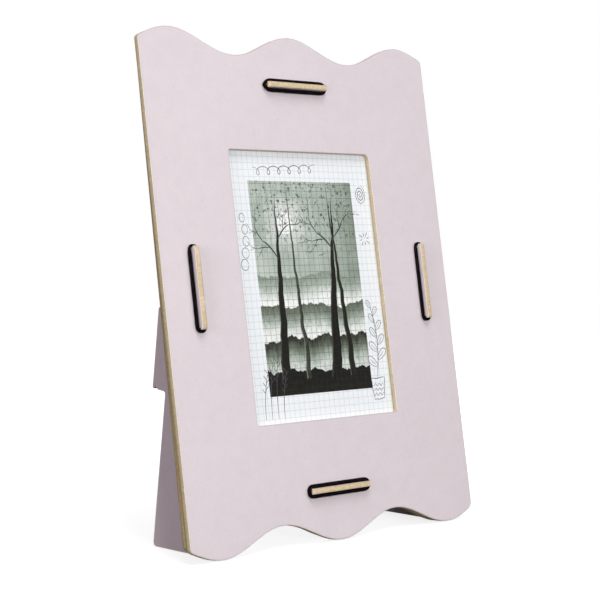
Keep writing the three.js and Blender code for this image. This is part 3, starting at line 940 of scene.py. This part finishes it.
# The sheet as a box with the strokes of ink lying on its front, in one mesh.
def makePrint():
    half = np.array(sheet["size"]) / 2
    corner = np.array([[-1, -1], [1, -1], [1, 1], [-1, 1]]) * half
    points = [np.column_stack([corner, np.full(4, depth)]) for depth in (paperFront, paperBack)]
    faces = [np.array([[0, 1, 2, 3], [7, 6, 5, 4], [0, 4, 5, 1],
                       [1, 5, 6, 2], [2, 6, 7, 3], [3, 7, 4, 0]])]
    start = 8
    for line, width in [*plantStrokes(), *smallStrokes()]:
        strokePoints, strokeFaces = inkStroke(line, penWidth(len(line), width))
        points.append(strokePoints)
        faces.append(strokeFaces + start)
        start += len(strokePoints)
    flat, faces = np.concatenate(points), np.concatenate(faces)
    placed = leaned(flat[:, 0], flat[:, 1] + middleHeight, flat[:, 2])
    piece = meshPiece("printSheet", placed, [faces], [flat[faces][..., :2]])
    finish(piece, "stand", ["print"], [printMaterial(), inkMaterial()])
    inked = (np.arange(len(faces)) >= 6).astype(np.int32)  # all but the sheet's own six faces
    piece.data.polygons.foreach_set("material_index", inked)


makePrint()
print("print done")

# Stage: floor, light and camera

stage = dict(
    floorSize=4.0, floorDrop=0.0002, floorTone=0.45, floorBounce=0.08,
    floorGlow=(0.79, 1.0), glowReach=(0.22, 0.6),  # more glow away from the object
    ambient=(1.0, 0.93, 0.98, 1.0), ambientStrength=0.008, aim=(0, 0, 0.18),
)


# One for the camera's own rays and for those that come by reflection or through glass.
def seenRays(nodes):
    rays = nodes.add("ShaderNodeLightPath").outputs
    return nodes.larger(rays["Is Camera Ray"],
                        nodes.larger(rays["Is Glossy Ray"], rays["Is Transmission Ray"]))


# White to the camera and to reflections, dimmer for the light that it bounces on.
def floorMaterial():
    material, nodes, shader = startMaterial("paleFloor")
    seen = seenRays(nodes)
    place = nodes.place()
    grain = nodes.timesPlus(nodes.noise(place, 40, 3, 0.5), 0.02, stage["floorTone"] - 0.01)
    bounce = (stage["floorBounce"],) * 3 + (1.0,)
    nodes.join(nodes.mix(seen, bounce, nodes.grey(grain)), shader.inputs["Base Color"])
    shader.inputs["Roughness"].default_value = 0.9
    shader.inputs["Specular IOR Level"].default_value = 0.1
    shader.inputs["Emission Color"].default_value = (1, 1, 1, 1)
    away = nodes.add("ShaderNodeVectorMath", {0: place}, operation="LENGTH").outputs["Value"]
    glow = nodes.smooth(away, *stage["glowReach"], *stage["floorGlow"])
    nodes.join(nodes.times(seen, glow), shader.inputs["Emission Strength"])
    return material


def makeFloor():
    half = stage["floorSize"] / 2
    corner = np.array([[-1, -1, 0], [1, -1, 0], [1, 1, 0], [-1, 1, 0]], float) * half
    mesh = bpy.data.meshes.new("floor")
    mesh.from_pydata(corner.tolist(), [], [(0, 1, 2, 3)])
    floor = newObject("floor", mesh)
    floor.location.z = -stage["floorDrop"]
    mesh.materials.append(floorMaterial())


# White to the same rays, and a faint light for all others.
def makeWorld():
    world = bpy.data.worlds.new("studio")
    bpy.context.scene.world = world
    world.use_nodes = True
    world.node_tree.nodes.clear()
    nodes = Nodes(world.node_tree)
    dim = nodes.add("ShaderNodeBackground", {0: stage["ambient"], 1: stage["ambientStrength"]}).outputs[0]
    white = nodes.add("ShaderNodeBackground", {0: (1, 1, 1, 1), 1: 1.0}).outputs[0]
    both = nodes.add("ShaderNodeMixShader", {0: seenRays(nodes), 1: dim, 2: white})
    nodes.add("ShaderNodeOutputWorld", {0: both.outputs[0]})


lamps = dict(
    # azimuth from the front (negative is left), elevation, distance, size, power, colour
    key=(-24, 8, 1.7, 0.5, 11.7, (1.0, 0.985, 0.975)),
    top=(-22, 66, 2.6, 1.7, 38.0, (1.0, 0.975, 0.985)),
    fill=(30, 14, 1.9, 1.4, 8.1, (0.98, 0.985, 1.0)),
    side=(-72, 6, 1.8, 0.7, 9.0, (1.0, 0.88, 0.95)),
    rear=(150, 40, 1.8, 0.8, 7.0, (1.0, 0.98, 0.99)),
)


# Turns an object to look inwards from an azimuth and an elevation, and gives the way back out.
def turnInwards(holder, azimuth, elevation):
    a, e = math.radians(azimuth), math.radians(elevation)
    back = Vector((math.sin(a) * math.cos(e), -math.cos(a) * math.cos(e), math.sin(e)))
    holder.rotation_euler = back.to_track_quat("Z", "Y").to_euler()
    return back


def makeLamps():
    for name, (azimuth, elevation, distance, size, power, color) in lamps.items():
        lamp = bpy.data.lights.new(name, "AREA")
        lamp.shape, lamp.size, lamp.energy, lamp.color = "DISK", size, power, color
        holder = newObject(name, lamp)
        holder.location = Vector(stage["aim"]) + turnInwards(holder, azimuth, elevation) * distance


view = dict(place=(-0.84343, -0.89881, 0.22567), azimuth=-42.912, elevation=2.466, lens=100.56,
            sensor=36.0)


def makeCamera():
    camera = bpy.data.cameras.new("camera")
    camera.lens, camera.sensor_width = view["lens"], view["sensor"]
    holder = newObject("camera", camera)
    holder.location = view["place"]
    turnInwards(holder, view["azimuth"], view["elevation"])
    bpy.context.scene.camera = holder


makeFloor()
makeWorld()
makeLamps()
makeCamera()
bpy.context.scene.view_settings.view_transform = "Standard"
print("stage done")
